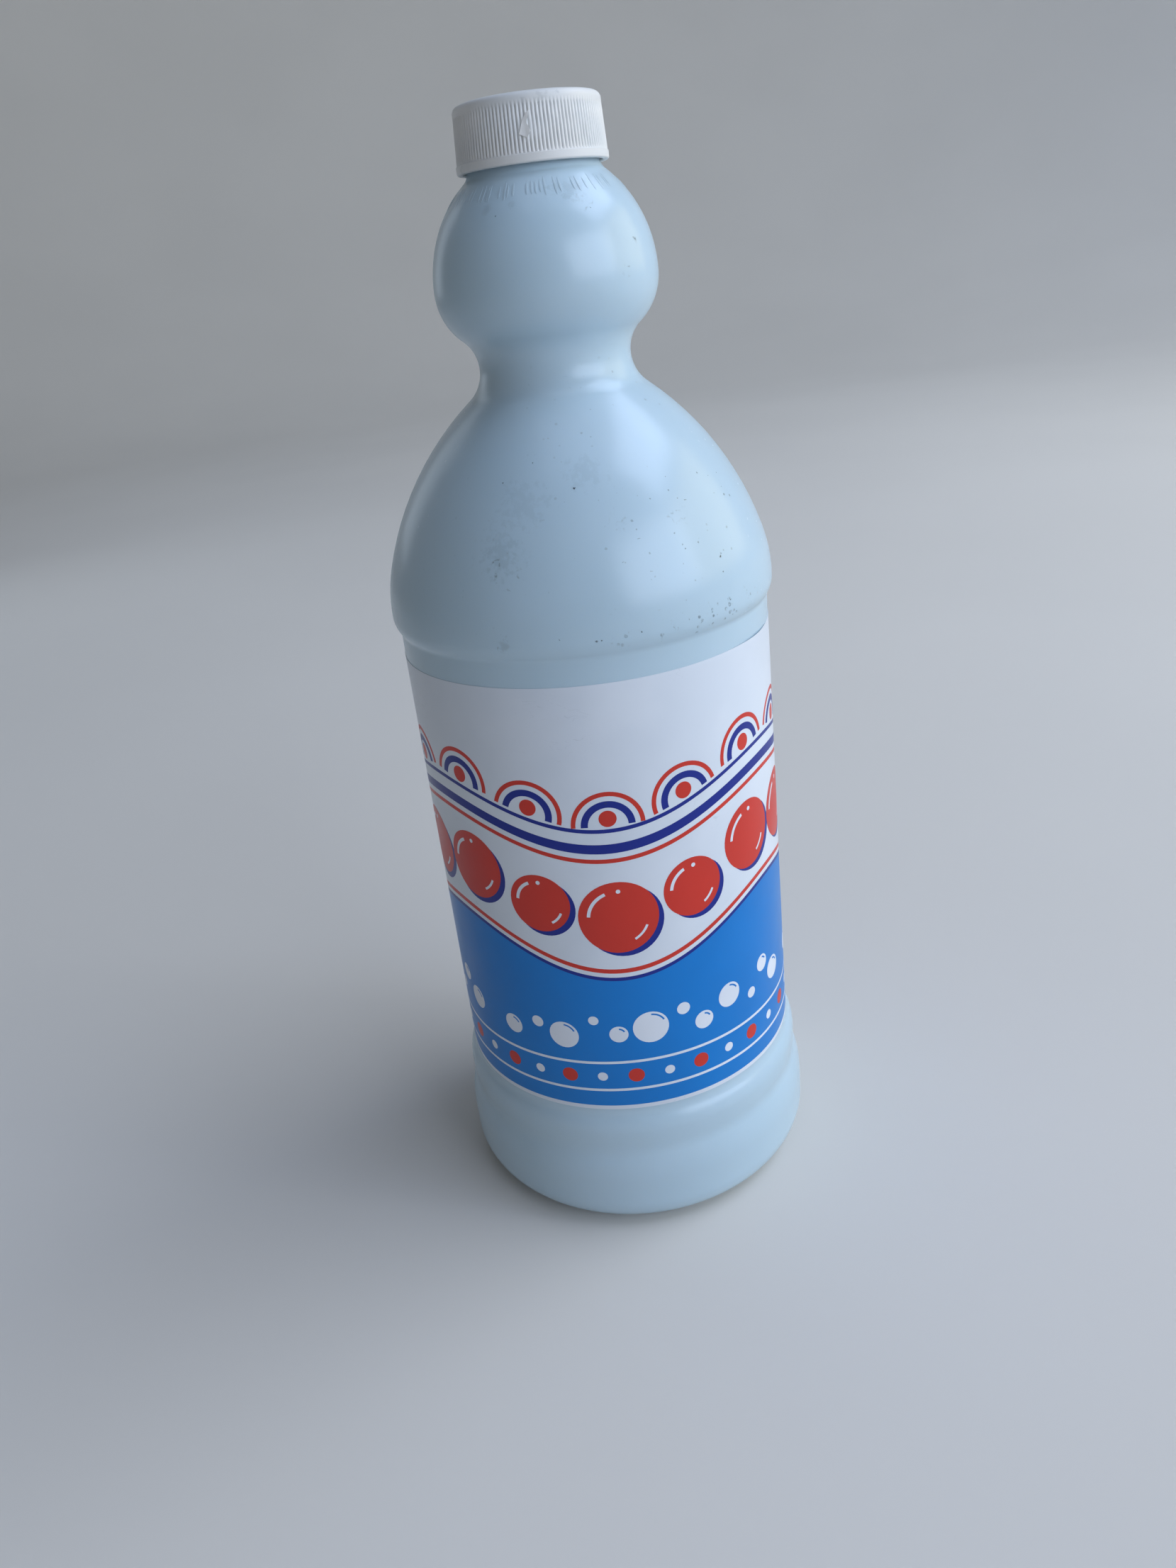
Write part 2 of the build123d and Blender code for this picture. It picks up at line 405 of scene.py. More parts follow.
def draw_wall(pen, sizes, inset, neck_side, neck_hollow):
    """From the middle of the base up to the neck, on the outside or set in by the wall."""
    foot_radius = sizes.panel_radius + sizes.bead_proud + sizes.foot_proud
    ring_out = foot_radius - sizes.base_rounding
    ring_in = ring_out - sizes.standing_ring
    base_sphere = (ring_in**2 + sizes.push_up**2) / (2 * sizes.push_up)
    bead = sizes.panel_radius + sizes.bead_proud - inset
    pen.arc((0, sizes.push_up + inset - base_sphere), -atan2(ring_in, base_sphere - sizes.push_up))
    pen.tip.co = (ring_in, 0, inset)
    pen.line(ring_out, inset)
    pen.arc((ring_out, sizes.base_rounding), pi / 2)
    pen.line(foot_radius - inset, sizes.foot_z, 2)
    pen.s_curve((bead - sizes.crease_depth, sizes.crease_z), 6 * MM + inset, False)
    pen.s_curve((bead, sizes.bead_z), 12 * MM + inset, True)
    pen.s_curve((sizes.panel_radius - inset, sizes.panel_z), 4 * MM + inset, False)
    pen.line(sizes.panel_radius - inset, sizes.panel_top_z, 3)
    shoulder = sizes.panel_radius + sizes.shoulder_proud - inset
    pen.s_curve((shoulder, sizes.shoulder_z), 2 * MM + inset, True)
    pen.dome(
        (sizes.waist_radius - inset, sizes.waist_z),
        33.7 * MM - inset,
        radians(17.4),
        8.1 * MM + inset,
    )
    pen.s_curve((sizes.bulb_radius - inset, sizes.bulb_z), 7.2 * MM + inset, True)
    pen.s_curve((neck_side, sizes.neck_z), neck_hollow, False)


def add_weld(whole, sizes, base_sphere):
    """The pinch weld, a lens-shaped ridge across the push-up."""
    bm = bmesh.new()
    made = bmesh.ops.create_uvsphere(bm, u_segments=48, v_segments=12, radius=1)
    for vert in made["verts"]:
        along = vert.co.x * sizes.weld / 2
        drop = base_sphere - sqrt(base_sphere**2 - along**2)
        vert.co = (
            along,
            vert.co.y * 0.45 * MM,
            sizes.push_up - drop + vert.co.z * 0.35 * MM,
        )
    join(whole, bm)


def add_wrinkles(whole, sizes):
    """The row of short upright wrinkles that the mould left on the bulb, just under the neck."""
    bm = bmesh.new()
    count = 120
    for place in range(count):
        chance = noise.noise_vector(Vector((place * 0.73, 4.1, 2.6)))
        if chance.x < -0.12:
            continue
        angle = tau * (place + 0.6 * chance.y) / count
        middle = sizes.neck_z - (5.0 + 0.25 * chance.z) * MM
        made = bmesh.ops.create_uvsphere(bm, u_segments=6, v_segments=6, radius=1)
        tall = (1.1 + 1.4 * max(chance.x, 0)) * MM
        for vert in made["verts"]:
            height = middle + vert.co.z * tall
            lean = angle + vert.co.x * 0.22 * MM / sizes.neck_radius
            radius = bulb_radius_at(sizes, height) + vert.co.y * 0.1 * MM - 0.015 * MM
            vert.co = on_wall(lean, radius, height)
    join(whole, bm)


def bulb_radius_at(sizes, height):
    """The bulb's radius at a height between its widest ring and the neck."""
    step = sizes.bulb_radius - sizes.neck_radius
    rise = sizes.neck_z - sizes.bulb_z
    both_radii = (step**2 + rise**2) / (2 * step)
    hollow = 3 * MM
    ball = both_radii - hollow
    meet = sizes.bulb_z + rise * ball / both_radii
    if height < meet:
        return sizes.bulb_radius - ball + sqrt(ball**2 - (height - sizes.bulb_z) ** 2)
    return sizes.neck_radius + hollow - sqrt(hollow**2 - (sizes.neck_z - height) ** 2)


class BLEACH_OT_bottle(bpy.types.Operator):
    """The blown bottle: one closed shell with its inner wall, neck finish and screw thread"""

    bl_idname = "bleach_bottle.bottle"
    bl_label = "Bottle"

    def execute(self, context):
        sizes = context.scene.bottle_sizes
        screw = context.scene.thread_sizes
        finish = sizes.neck_radius - sizes.land_step
        bore = finish - sizes.neck_wall
        land_z = sizes.neck_z + sizes.land_height
        edge = 0.35 * MM
        bm = bmesh.new()
        outer = Pen(bm, 0, sizes.push_up, OUTER_ARC_STEP)
        draw_wall(outer, sizes, 0, sizes.neck_radius, 3 * MM)
        outer.line(sizes.neck_radius, land_z - edge / 2)
        outer.line(sizes.neck_radius - edge / 2, land_z)
        outer.line(finish, land_z)
        outer.line(finish, sizes.lip_z - edge)
        outer.arc((finish - edge, sizes.lip_z - edge), pi / 2)
        outer.line(bore, sizes.lip_z)
        inner = Pen(bm, 0, sizes.push_up + sizes.wall, INNER_ARC_STEP)
        draw_wall(inner, sizes, sizes.wall, bore, 5 * MM)
        inner.line(bore, sizes.lip_z)
        revolve(bm, BOTTLE_STEPS)
        for vert in bm.verts:
            height, radius = vert.co.z, vert.co.xy.length
            calm = smooth_step(sizes.shoulder_z, sizes.shoulder_z + 8 * MM, height)
            calm *= 1 - smooth_step(sizes.neck_z - 7 * MM, sizes.neck_z - 2 * MM, height)
            if calm > 0 and radius > 0:
                slow = noise.noise(vert.co * 45)
                quick = noise.noise(vert.co * 130 + Vector((3, 1, 7)))
                move_out(vert, calm * sizes.unevenness * (slow + 0.35 * quick))
        foot_radius = sizes.panel_radius + sizes.bead_proud + sizes.foot_proud
        ring_in = foot_radius - sizes.base_rounding - sizes.standing_ring
        add_weld(bm, sizes, (ring_in**2 + sizes.push_up**2) / (2 * sizes.push_up))
        add_wrinkles(bm, sizes)
        thread(
            bm,
            finish,
            finish + screw.depth,
            screw.crest,
            screw.slope,
            screw.foot_z,
            screw.pitch,
            screw.rise,
            0,
            screw.fade,
        )
        settle(bm, "bottle_shell", [blown_plastic()], "bottle", "bottle")
        return {"FINISHED"}


# Cap


def smear(angle, height):
    """How far the cap's ribs are scraped flat at a point, from 0 to 1."""
    across = (angle + radians(1)) / radians(6.5)
    up = (height - 239.9 * MM) / (2.3 * MM)
    ragged = 0.35 * noise.noise(Vector((angle * 30, height * 1400, 5)))
    torn = 1 - smooth_step(0.7, 1.15, sqrt(across**2 + up**2) + ragged)
    across = (angle - radians(7)) / radians(4.5)
    up = (height - 239.4 * MM) / (1.4 * MM)
    rubbed = 0.6 * (1 - smooth_step(0.3, 1.2, sqrt(across**2 + up**2) + ragged))
    return max(torn, rubbed)


def add_flake(bm, radius_at):
    """The flake of plastic that is torn out of the ribs at the front and curls outwards."""
    outline = (
        (-7.5, 238.75),
        (-4.6, 238.4),
        (-1.6, 238.05),
        (-0.7, 238.9),
        (1.2, 239.1),
        (-0.4, 240.0),
        (-1.9, 240.6),
        (-0.7, 241.5),
        (1.9, 242.5),
        (-1.4, 241.9),
        (-4.0, 240.9),
    )
    flake = bmesh.new()
    flake.faces.new([flake.verts.new((angle, 0, height)) for angle, height in outline])
    bmesh.ops.triangulate(flake, faces=flake.faces)
    bmesh.ops.subdivide_edges(flake, edges=flake.edges, cuts=3, use_grid_fill=True)
    for vert in flake.verts:
        angle, height = vert.co.x, vert.co.z * MM
        curl = smooth_step(-5.5, 1.2, angle) ** 2
        ripple = 0.03 * noise.noise(Vector((angle, height * 900, 1)))
        lift = (0.06 + 0.3 * curl + ripple) * MM
        vert.co = on_wall(radians(angle), radius_at(height) + lift, height)
    top = bmesh.ops.extrude_face_region(flake, geom=flake.faces[:], use_keep_orig=True)
    for item in top["geom"]:
        if isinstance(item, bmesh.types.BMVert):
            move_out(item, 0.07 * MM)
    bmesh.ops.recalc_face_normals(flake, faces=flake.faces)
    join(bm, flake)


class BLEACH_OT_cap(bpy.types.Operator):
    """The moulded cap: top, smooth band, fine ribs, collar and the thread inside"""

    bl_idname = "bleach_bottle.cap"
    bl_label = "Cap"

    def execute(self, context):
        sizes = context.scene.cap_sizes
        screw = context.scene.thread_sizes
        band_z = sizes.top_z - sizes.band_height
        collar_z = sizes.rim_z + sizes.collar_height
        collar = sizes.radius + sizes.collar_proud
        rounding, edge, soft = sizes.top_rounding, 0.35 * MM, 0.2 * MM

        def skirt_radius(height):
            share = (height - collar_z) / (band_z - collar_z)
            return sizes.radius + (sizes.band_radius - sizes.radius) * share

        bm = bmesh.new()
        pen = Pen(bm, 0, sizes.top_z, radians(9))
        pen.line(sizes.band_radius - rounding, sizes.top_z, 4)
        pen.arc((sizes.band_radius - rounding, sizes.top_z - rounding), -pi / 2)
        pen.line(sizes.band_radius, band_z)
        pen.line(sizes.radius, collar_z, 26)
        pen.line(collar, collar_z - sizes.collar_proud)
        pen.line(collar, sizes.rim_z + edge, 2)
        pen.arc((collar - edge, sizes.rim_z + edge), -pi / 2)
        pen.line(sizes.bore + soft, sizes.rim_z)
        pen.line(sizes.bore, sizes.rim_z + soft)
        pen.line(sizes.bore, sizes.ceiling_z - soft, 3)
        pen.line(sizes.bore - soft, sizes.ceiling_z)
        pen.line(0, sizes.ceiling_z, 4)
        revolve(bm, sizes.ribs * RIB_STEPS)
        fade = 0.35 * MM
        for vert in bm.verts:
            radius, height = vert.co.xy.length, vert.co.z
            if radius < sizes.bore + 0.3 * MM or not collar_z < height < band_z:
                continue
            angle = atan2(vert.co.x, -vert.co.y)
            phase = atan2(vert.co.y, vert.co.x) * sizes.ribs / tau % 1
            valley = 1 - sin(pi * phase) ** 0.85
            worn = 0.85 + 0.3 * noise.noise(Vector((angle * 20, height * 350, 2)))
            ends = smooth_step(0, fade, height - collar_z) * smooth_step(
                0, fade, band_z - height
            )
            flat = smear(angle, height)
            depth = sizes.rib_depth * worn * valley * (1 - 0.45 * flat)
            move_out(vert, -depth * ends)
        add_flake(bm, skirt_radius)
        thread(
            bm,
            sizes.bore,
            sizes.bore - screw.depth,
            screw.cap_crest,
            screw.slope,
            screw.cap_foot_z,
            screw.pitch,
            screw.cap_rise,
            screw.cap_turn,
            screw.fade,
        )
        settle(bm, "screw_cap", [cap_plastic()], "cap", "cap")
        return {"FINISHED"}


class BLEACH_OT_liner(bpy.types.Operator):
    """The liner: its solid from the frame, finished as foamed plastic"""

    bl_idname = "bleach_bottle.liner"
    bl_label = "Liner"

    def execute(self, context):
        liner = bpy.data.objects["cap_liner"]
        liner.data.materials.clear()
        liner.data.materials.append(foamed_plastic())
        return {"FINISHED"}


# Label and print


def flat_sheet(bm, width, low, high, across, up=1):
    """A flat sheet round the whole bottle or part of it, between two edges that are heights
    or functions of the way round."""
    made = bmesh.ops.create_grid(bm, x_segments=across, y_segments=up, size=0.5)
    for vert in made["verts"]:
        along, share = vert.co.x * width, vert.co.y + 0.5
        foot = low(along) if callable(low) else low
        top = high(along) if callable(high) else high
        vert.co = (along, foot + (top - foot) * share, 0)
    return made["verts"]


def thicken(bm, verts, level, thickness):
    """Gives flat faces a thickness, from a level upwards."""
    faces = list({face for vert in verts for face in vert.link_faces})
    bmesh.ops.translate(bm, verts=verts, vec=(0, 0, level))
    made = bmesh.ops.extrude_face_region(bm, geom=faces, use_keep_orig=True)
    upper = [item for item in made["geom"] if isinstance(item, bmesh.types.BMVert)]
    bmesh.ops.translate(bm, verts=upper, vec=(0, 0, thickness))


class Print:
    """Shapes of one ink. They are drawn flat, X being the way round from the front's middle
    and Y the height, then cut in narrow strips and wrapped on the film."""

    def __init__(self, sizes, film_radius):
        self.bm = bmesh.new()
        self.sizes = sizes
        self.film_radius = film_radius
        self.around = tau * film_radius

    def layer(self, verts, level):
        ink = self.sizes.ink
        thicken(self.bm, verts, (level - 1.3) * ink, 1.3 * ink)

    def band(self, low, high, level=1):
        verts = flat_sheet(self.bm, self.around, low, high, LABEL_STEPS)
        self.layer(verts, level)

    def disc(self, along, height, radius, level=1, segments=48):
        made = bmesh.ops.create_circle(
            self.bm,
            cap_ends=True,
            cap_tris=True,
            segments=segments,
            radius=radius,
            matrix=Matrix.Translation((along, height, 0)),
        )
        self.layer(made["verts"], level)

    def arc(self, along, height, radius, width, start, sweep, level=1, steps=28):
        """Part of a ring, its angles running from the right, anticlockwise."""
        centre = Vector((along, height, 0))
        aim = Vector((cos(start), sin(start), 0))
        ends = [
            self.bm.verts.new(centre + aim * (radius + side * width / 2)) for side in (-1, 1)
        ]
        edge = self.bm.edges.new(ends)
        before = set(self.bm.verts)
        bmesh.ops.spin(
            self.bm,
            geom=ends + [edge],
            cent=centre,
            axis=(0, 0, 1),
            angle=sweep,
            steps=steps,
        )
        if abs(sweep) > tau - 0.01:
            new = [vert for vert in self.bm.verts if vert not in before] + ends
            bmesh.ops.remove_doubles(self.bm, verts=new, dist=0.001 * MM)
        made = [vert for vert in self.bm.verts if vert not in before]
        made += [vert for vert in ends if vert.is_valid]
        self.layer(made, level)

    def wrap(self, name, material):
        """Cuts the flat shapes where the film's facets meet, and lays them on it."""
        bm, radius = self.bm, self.film_radius
        half = self.around / 2
        step = self.around / LABEL_STEPS
        lap_edge = half - LAP_STEPS * step
        cuts = [step * place for place in range(-LABEL_STEPS // 2 + 1, LABEL_STEPS // 2)]
        cuts += [lap_edge + 0.02 * MM, -lap_edge - 0.02 * MM]
        for cut in cuts:
            bmesh.ops.bisect_plane(
                bm,
                geom=bm.verts[:] + bm.edges[:] + bm.faces[:],
                dist=0.0005 * MM,
                plane_co=(cut, 0, 0),
                plane_no=(1, 0, 0),
            )
        bmesh.ops.delete(
            bm,
            geom=[f for f in bm.faces if all(abs(v.co.x) > half - 1e-6 for v in f.verts)],
            context="FACES",
        )
        for vert in bm.verts:
            along, height, level = vert.co
            on_lap = abs(along) > lap_edge + 0.01 * MM
            out = radius + level + (self.sizes.thickness if on_lap else 0)
            vert.co = on_wall(along / radius, out + film_lift(along / radius, height), height)
        bmesh.ops.remove_doubles(bm, verts=bm.verts, dist=0.0005 * MM)
        bmesh.ops.recalc_face_normals(bm, faces=bm.faces)
        return settle(bm, name, [material], "bottle")


def film_lift(angle, height):
    """How far the film stands off the wall: its upper edge has come a little loose at the
    right, and the film has a few soft creases there."""
    loose = 1 - smooth_step(0, radians(15), abs(angle - radians(58)))
    near_top = smooth_step(135 * MM, 141 * MM, height)
    crease = max(noise.noise(Vector((angle * 6, height * 60, 3))), 0)
    above_print = smooth_step(129 * MM, 136 * MM, height)
    return (0.28 * near_top**2 + 0.06 * crease * above_print) * loose * MM


class BLEACH_OT_label(bpy.types.Operator):
    """The white film, wrapped round the panel and lapped at the back"""

    bl_idname = "bleach_bottle.label"
    bl_label = "Label film"

    def execute(self, context):
        sizes = context.scene.label_sizes
        inner = context.scene.bottle_sizes.panel_radius
        radius = inner + sizes.thickness
        around = tau * radius
        bm = bmesh.new()
        verts = flat_sheet(bm, around, sizes.foot_z, sizes.top_z, LABEL_STEPS, 24)
        thicken(bm, verts, -sizes.thickness, sizes.thickness)
        ends = [f for f in bm.faces if all(abs(v.co.x) > around / 2 - 1e-6 for v in f.verts)]
        bmesh.ops.delete(bm, geom=ends, context="FACES")
        for vert in bm.verts:
            angle, height = vert.co.x / radius, vert.co.y
            out = radius + vert.co.z + film_lift(angle, height)
            vert.co = on_wall(angle, out, height)
        bmesh.ops.remove_doubles(bm, verts=bm.verts, dist=0.0005 * MM)
        before = set(bm.verts)
        lap = 2 * LAP_STEPS * around / LABEL_STEPS
        verts = flat_sheet(bm, lap, sizes.foot_z, sizes.top_z, 2 * LAP_STEPS, 1)
        thicken(bm, verts, 0, sizes.thickness)
        for vert in bm.verts:
            if vert not in before:
                angle = pi + vert.co.x / radius
                vert.co = on_wall(angle, radius + vert.co.z, vert.co.y)
        bmesh.ops.recalc_face_normals(bm, faces=bm.faces)
        colour = context.scene.finishes.film
        settle(bm, "label_film", [film("label_white", colour)], "bottle", "label")
        return {"FINISHED"}


class BLEACH_OT_print(bpy.types.Operator):
    """The print: a blue field with a waved edge, stripes, red discs, arches and bubbles"""

    bl_idname = "bleach_bottle.print"
    bl_label = "Print"

    def execute(self, context):
        sizes = context.scene.label_sizes
        colours = context.scene.finishes
        radius = context.scene.bottle_sizes.panel_radius + sizes.thickness
        blue, red, navy, white = (Print(sizes, radius) for _ in range(4))
        around = blue.around
        repeat = around / 3
        fronts = [place * repeat for place in (-1, 0, 1)]

        def wave(lift, share=1.0):
            """The waved edge, lowest at the front's middle, raised by a lift."""
            return lambda along: (
                sizes.field_z + lift - share * sizes.wave * cos(tau * along / repeat)
            )

        blue.band(sizes.foot_z + sizes.border, wave(0))
        navy.band(wave(0.0), wave(0.9 * MM))
        red.band(wave(2.0 * MM), wave(3.1 * MM))
        red.band(wave(28.4 * MM, 0.75), wave(29.4 * MM, 0.75))
        navy.band(wave(30.7 * MM, 0.75), wave(32.9 * MM, 0.75))

        # Red discs on the white band, each with a navy shade and white lights
        edge = wave(0, 0.9)
        for place in range(15):
            along = around * (place - 7) / 15
            size = sizes.ball * (1, 0.8, 0.93, 0.93, 0.8)[(place - 7) % 5]
            height = edge(along) + 15.7 * MM
            navy.disc(along + 1.1 * MM, height - 1.0 * MM, size, 1)
            red.disc(along, height, size, 2)
            white.arc(along, height, size * 0.74, 0.75 * MM, radians(112), radians(62), 3)
            white.disc(along + size * 0.05, height + size * 0.735, 0.5 * MM, 3, 16)
            white.arc(along, height, size * 0.74, 0.55 * MM, radians(-62), radians(38), 3)

        # A frieze of arches in thin lines on the upper white
        foot = wave(37.2 * MM, 0.75)
        navy.band(wave(35.6 * MM, 0.75), wave(36.5 * MM, 0.75))
        for place in range(15):
            along = around * (place - 7) / 15
            height = foot(along)
            rise = 0.75 * sizes.wave * tau / repeat * sin(tau * along / repeat)
            lean = atan2(rise, 1)
            red.arc(along, height, sizes.arch, 1.0 * MM, lean, pi)
            navy.arc(along, height, sizes.arch * 0.68, 1.5 * MM, lean, pi)
            middle = (along - 1.7 * MM * sin(lean), height + 1.7 * MM * cos(lean))
            red.disc(*middle, 1.9 * MM, 1, 32)

        # Bubbles and lines in the blue field
        bubbles = (
            (-30, 55.5, 2.6),
            (-22.5, 58.5, 1.5),
            (-16, 56, 3.6),
            (-8.5, 60.5, 1.2),
            (-3, 56.5, 2.2),
            (4.5, 57.5, 4.2),
            (12.5, 60.5, 1.6),
            (17.5, 55.5, 2.4),
            (25, 59, 3.2),
            (32.5, 55.5, 1.4),
            (37.5, 61, 2.2),
            (43, 56.5, 3.0),
        )
        for front in fronts:
            for along, height, size in bubbles:
                across = front + along * MM
                if across > around / 2 - 5 * MM:
                    continue
                white.disc(across, height * MM, size * MM, 2, 32)
                shine = (size - 0.75) * MM
                if size > 2:
                    blue.arc(
                        across, height * MM, shine, 0.4 * MM, radians(25), radians(60), 3, 12
                    )
        white.band(48.2 * MM, 48.9 * MM, 2)
        white.band(40.3 * MM, 41.0 * MM, 2)
        for place in range(33):
            along = around * (place - 16) / 33
            size = (1.9, 1.2)[place % 2] * MM
            (red if place % 2 == 0 else white).disc(along, 44.6 * MM, size, 2, 24)

        blue.wrap("print_blue", film("ink_blue", colours.field))
        red.wrap("print_red", film("ink_red", colours.red))
        navy.wrap("print_navy", film("ink_navy", colours.navy))
        white.wrap("print_white", film("ink_white", colours.white))
        return {"FINISHED"}


# Materials


class Nodes:
    """Adds nodes to a tree and links them."""

    def __init__(self, tree):
        self.tree = tree

    def add(self, kind, links=(), **settings):
        """A node with its settings. Links give a socket's name or number and what feeds it,
        which is another socket or a constant."""
        node = self.tree.nodes.new(kind)
        for name, value in settings.items():
            setattr(node, name, value)
        for socket, value in dict(links).items():
            if isinstance(value, bpy.types.NodeSocket):
                self.tree.links.new(value, node.inputs[socket])
            else:
                node.inputs[socket].default_value = value
        return node

    def maths(self, operation, first, second=0.5, clamp=False):
        node = self.add("ShaderNodeMath", {0: first, 1: second}, operation=operation)
        node.use_clamp = clamp
        return node.outputs[0]

    def ramp(self, value, low, high, to_low=0.0, to_high=1.0):
        """Maps a value smoothly from one range to another."""
        node = self.add(
            "ShaderNodeMapRange",
            {
                "Value": value,
                "From Min": low,
                "From Max": high,
                "To Min": to_low,
                "To Max": to_high,
            },
            interpolation_type="SMOOTHSTEP",
        )
        return node.outputs["Result"]

    def noise(self, vector, scale, detail=2.0, roughness=0.5):
        node = self.add(
            "ShaderNodeTexNoise",
            {"Vector": vector, "Scale": scale, "Detail": detail, "Roughness": roughness},
        )
        return node.outputs["Fac"]

    def stretch(self, vector, scale, location=(0, 0, 0), rotation=(0, 0, 0)):
        node = self.add(
            "ShaderNodeMapping",
            {"Vector": vector, "Location": location, "Rotation": rotation, "Scale": scale},
        )
        return node.outputs[0]

    def mix(self, share, first, second):
        """Mixes two colours."""
        node = self.add("ShaderNodeMix", data_type="RGBA", clamp_factor=True)
        for socket, value in (
            (node.inputs[0], share),
            (node.inputs[6], first),
            (node.inputs[7], second),
        ):
            if isinstance(value, bpy.types.NodeSocket):
                self.tree.links.new(value, socket)
            else:
                socket.default_value = value
        return node.outputs[2]

    def group(self, made, **values):
        node = self.add("ShaderNodeGroup", node_tree=made)
        for name, value in values.items():
            socket = node.inputs[name.replace("_", " ").capitalize()]
            if isinstance(value, bpy.types.NodeSocket):
                self.tree.links.new(value, socket)
            else:
                socket.default_value = value
        return node.outputs[0]


def effect(name, inputs, output, fill):
    """A shader node group that is built once, with named inputs and one output."""
    if name in bpy.data.node_groups:
        return bpy.data.node_groups[name]
    tree = bpy.data.node_groups.new(name, "ShaderNodeTree")
    for label, default in inputs:
        kind = "NodeSocketVector" if label in ("Vector", "Centre") else "NodeSocketFloat"
        socket = tree.interface.new_socket(name=label, in_out="INPUT", socket_type=kind)
        if default is not None:
            socket.default_value = default
    tree.interface.new_socket(name=output, in_out="OUTPUT", socket_type="NodeSocketFloat")
    entry = tree.nodes.new("NodeGroupInput")
    leave = tree.nodes.new("NodeGroupOutput")
    nodes = Nodes(tree)
    tree.links.new(fill(nodes, entry.outputs), leave.inputs[0])
    return tree


def grain():
    """Fine unevenness of a moulded surface: a soft ripple with a fine grain on it."""

    def fill(nodes, given):
        fine = nodes.noise(given["Vector"], given["Fine scale"], 3)
        ripple = nodes.noise(given["Vector"], given["Ripple scale"], 2)
        fine = nodes.maths("MULTIPLY", fine, given["Fine share"])
        return nodes.maths("ADD", fine, ripple)

    inputs = (("Vector", None), ("Fine scale", 5000), ("Ripple scale", 300), ("Fine share", 0.3))
    return effect("moulded_grain", inputs, "Height", fill)


def specks():
    """Small dark specks of dirt, some cells of a random pattern holding one each."""

    def fill(nodes, given):
        wobble = nodes.noise(given["Vector"], 2600, 2)
        cells = nodes.add(
            "ShaderNodeTexVoronoi", {"Vector": given["Vector"], "Scale": given["Scale"]}
        )
        reach = nodes.maths("ADD", cells.outputs["Distance"], nodes.ramp(wobble, 0.3, 0.7, 0, 0.06))
        chance = nodes.add("ShaderNodeSeparateColor", {0: cells.outputs["Color"]})
        size = nodes.maths("MULTIPLY", chance.outputs[1], given["Size"])
        inside = nodes.maths("LESS_THAN", reach, size)
        held = nodes.maths("LESS_THAN", chance.outputs[0], given["Amount"])
        return nodes.maths("MULTIPLY", inside, held)

    inputs = (("Vector", None), ("Scale", 300), ("Size", 0.1), ("Amount", 0.1))
    return effect("dirt_specks", inputs, "Mask", fill)


def crooked_lines():
    """Thin crooked broken lines, as scrapes leave them: where a noise crosses its middle."""

    def fill(nodes, given):
        path = nodes.noise(given["Vector"], given["Scale"], 2, 0.6)
        off = nodes.maths("ABSOLUTE", nodes.maths("SUBTRACT", path, 0.5))
        line = nodes.ramp(off, given["Width"], 0)
        gaps = nodes.noise(given["Vector"], given["Gap scale"], 1)
        return nodes.maths("MULTIPLY", line, nodes.ramp(gaps, 0.4, 0.56))

    inputs = (("Vector", None), ("Scale", 260), ("Width", 0.03), ("Gap scale", 900))
    return effect("crooked_lines", inputs, "Mask", fill)


def spot():
    """How near a point is to a centre. The noise that is given makes the edge ragged."""

    def fill(nodes, given):
        apart = nodes.add(
            "ShaderNodeVectorMath",
            {0: given["Vector"], 1: given["Centre"]},
            operation="SUBTRACT",
        )
        away = nodes.add("ShaderNodeVectorMath", {0: apart.outputs[0]}, operation="LENGTH")
        share = nodes.maths("DIVIDE", away.outputs["Value"], given["Radius"])
        share = nodes.maths("ADD", share, given["Ragged"])
        return nodes.maths("MULTIPLY", nodes.ramp(share, 1.0, 0.2), given["Strength"])

    inputs = (("Vector", None), ("Centre", None), ("Radius", 0.002), ("Ragged", 0), ("Strength", 1))
    return effect("ragged_spot", inputs, "Mask", fill)


def all_spots(nodes, place, ragged, rows):
    """The strongest of several spots. Each row gives a spot's angle from the front in degrees,
    its height, the wall's radius there and its own size in millimetres, and its strength."""
    strongest = None
    for angle, height, radius, size, strength in rows:
        mask = nodes.group(
            spot(),
            vector=place,
            centre=on_wall(radians(angle), radius * MM, height * MM),
            radius=size * MM,
            ragged=ragged,
            strength=strength,
        )
        strongest = mask if strongest is None else nodes.maths("MAXIMUM", strongest, mask)
    return strongest


def ragged_noise(nodes, place, scale):
    return nodes.ramp(nodes.noise(place, scale, 4, 0.65), 0.25, 0.75, -0.8, 0.8)


def new_material(name):
    """An empty material with its shader, and its object coordinates."""
    material = bpy.data.materials.new(name)
    material.use_nodes = True
    tree = material.node_tree
    tree.nodes.clear()
    nodes = Nodes(tree)
    shader = nodes.add("ShaderNodeBsdfPrincipled")
    out = nodes.add("ShaderNodeOutputMaterial")
    tree.links.new(shader.outputs[0], out.inputs[0])
    place = nodes.add("ShaderNodeTexCoord").outputs["Object"]
    return material, nodes, shader, place


